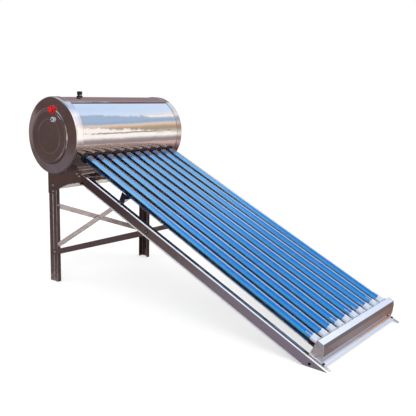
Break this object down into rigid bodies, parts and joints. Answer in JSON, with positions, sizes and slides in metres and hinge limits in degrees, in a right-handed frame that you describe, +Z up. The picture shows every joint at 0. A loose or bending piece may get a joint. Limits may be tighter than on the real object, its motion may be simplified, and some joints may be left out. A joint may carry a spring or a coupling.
{
  "type": "solar water heater",
  "caption": "Compact thermosiphon solar water heater: a horizontal insulated steel tank on a sheet steel stand, fed by sloping evacuated glass tubes held in a tail stock.",
  "frame": {"origin": "on the ground at the centre of the whole object's footprint", "axes": "+X along the tank from its left end to its right end seen from the front, -Y towards the sunny front where the tubes reach the ground, +Z up"},
  "size_m": [1, 2.1052, 1.186],
  "materials": {
    "mirror_steel": "polished",
    "dark_steel": "satin",
    "frame_steel": "satin",
    "pale_steel": "polished",
    "inner_steel": "satin",
    "foam": "matte",
    "tube_glass": "gloss",
    "black_rubber": "matte",
    "red_rubber": "satin",
    "red_plastic": "gloss",
    "black_plastic": "satin",
    "cup_plastic": "satin",
    "end_plate": "satin"
  },
  "bodies": {
    "tank_and_stand": {"outer_shell": "mirror_steel", "left_end_cap": "dark_steel", "right_end_cap": "dark_steel", "inner_tank": "inner_steel", "foam_insulation": "foam", "vent_grommet": "black_rubber", "left_port_grommet": "red_rubber", "right_port_grommet": "red_rubber", "tube_seal_01": "black_rubber", "tube_seal_02": "black_rubber", "tube_seal_03": "black_rubber", "tube_seal_04": "black_rubber", "tube_seal_05": "black_rubber", "tube_seal_06": "black_rubber", "tube_seal_07": "black_rubber", "tube_seal_08": "black_rubber", "tube_seal_09": "black_rubber", "tube_seal_10": "black_rubber", "tail_cup_01": "cup_plastic", "tail_cup_02": "cup_plastic", "tail_cup_03": "cup_plastic", "tail_cup_04": "cup_plastic", "tail_cup_05": "cup_plastic", "tail_cup_06": "cup_plastic", "tail_cup_07": "cup_plastic", "tail_cup_08": "cup_plastic", "tail_cup_09": "cup_plastic", "tail_cup_10": "cup_plastic", "tail_stock": "frame_steel", "left_tail_end_plate": "end_plate", "right_tail_end_plate": "end_plate", "left_rail": "frame_steel", "right_rail": "frame_steel", "left_rear_leg": "dark_steel", "right_rear_leg": "dark_steel", "left_saddle": "dark_steel", "right_saddle": "dark_steel", "left_side_strut": "dark_steel", "right_side_strut": "dark_steel", "rear_brace_falling": "frame_steel", "rear_brace_rising": "frame_steel", "rear_cross_member": "frame_steel", "middle_tube_rest": "frame_steel", "left_rail_bolt": "pale_steel", "right_rail_bolt": "pale_steel"},
    "tube_01": {"vacuum_tube_01": "tube_glass"},
    "tube_02": {"vacuum_tube_02": "tube_glass"},
    "tube_03": {"vacuum_tube_03": "tube_glass"},
    "tube_04": {"vacuum_tube_04": "tube_glass"},
    "tube_05": {"vacuum_tube_05": "tube_glass"},
    "tube_06": {"vacuum_tube_06": "tube_glass"},
    "tube_07": {"vacuum_tube_07": "tube_glass"},
    "tube_08": {"vacuum_tube_08": "tube_glass"},
    "tube_09": {"vacuum_tube_09": "tube_glass"},
    "tube_10": {"vacuum_tube_10": "tube_glass"},
    "vent_cap_body": {"vent_cap": "black_plastic"},
    "left_port_cap_body": {"left_port_cap": "red_plastic"},
    "right_port_cap_body": {"right_port_cap": "red_plastic"},
    "sensor_plug_body": {"sensor_plug": "pale_steel"}
  },
  "joints": [
    {"name": "tube_slide_01", "type": "slide", "parent": "tank_and_stand", "child": "tube_01", "axis": [0, 0.9135, 0.4067], "range_m": [0, 0.06]},
    {"name": "tube_slide_02", "type": "slide", "parent": "tank_and_stand", "child": "tube_02", "axis": [0, 0.9135, 0.4067], "range_m": [0, 0.06]},
    {"name": "tube_slide_03", "type": "slide", "parent": "tank_and_stand", "child": "tube_03", "axis": [0, 0.9135, 0.4067], "range_m": [0, 0.06]},
    {"name": "tube_slide_04", "type": "slide", "parent": "tank_and_stand", "child": "tube_04", "axis": [0, 0.9135, 0.4067], "range_m": [0, 0.06]},
    {"name": "tube_slide_05", "type": "slide", "parent": "tank_and_stand", "child": "tube_05", "axis": [0, 0.9135, 0.4067], "range_m": [0, 0.06]},
    {"name": "tube_slide_06", "type": "slide", "parent": "tank_and_stand", "child": "tube_06", "axis": [0, 0.9135, 0.4067], "range_m": [0, 0.06]},
    {"name": "tube_slide_07", "type": "slide", "parent": "tank_and_stand", "child": "tube_07", "axis": [0, 0.9135, 0.4067], "range_m": [0, 0.06]},
    {"name": "tube_slide_08", "type": "slide", "parent": "tank_and_stand", "child": "tube_08", "axis": [0, 0.9135, 0.4067], "range_m": [0, 0.06]},
    {"name": "tube_slide_09", "type": "slide", "parent": "tank_and_stand", "child": "tube_09", "axis": [0, 0.9135, 0.4067], "range_m": [0, 0.06]},
    {"name": "tube_slide_10", "type": "slide", "parent": "tank_and_stand", "child": "tube_10", "axis": [0, 0.9135, 0.4067], "range_m": [0, 0.06]},
    {"name": "vent_cap_lift", "type": "slide", "parent": "tank_and_stand", "child": "vent_cap_body", "axis": [0, 0, 1], "range_m": [0, 0.05]},
    {"name": "left_port_cap_pull", "type": "slide", "parent": "tank_and_stand", "child": "left_port_cap_body", "axis": [-1, 0, 0], "range_m": [0, 0.05]},
    {"name": "right_port_cap_pull", "type": "slide", "parent": "tank_and_stand", "child": "right_port_cap_body", "axis": [1, 0, 0], "range_m": [0, 0.05]},
    {"name": "sensor_plug_pull", "type": "slide", "parent": "tank_and_stand", "child": "sensor_plug_body", "axis": [-1, 0, 0], "range_m": [0, 0.06]}
  ]
}
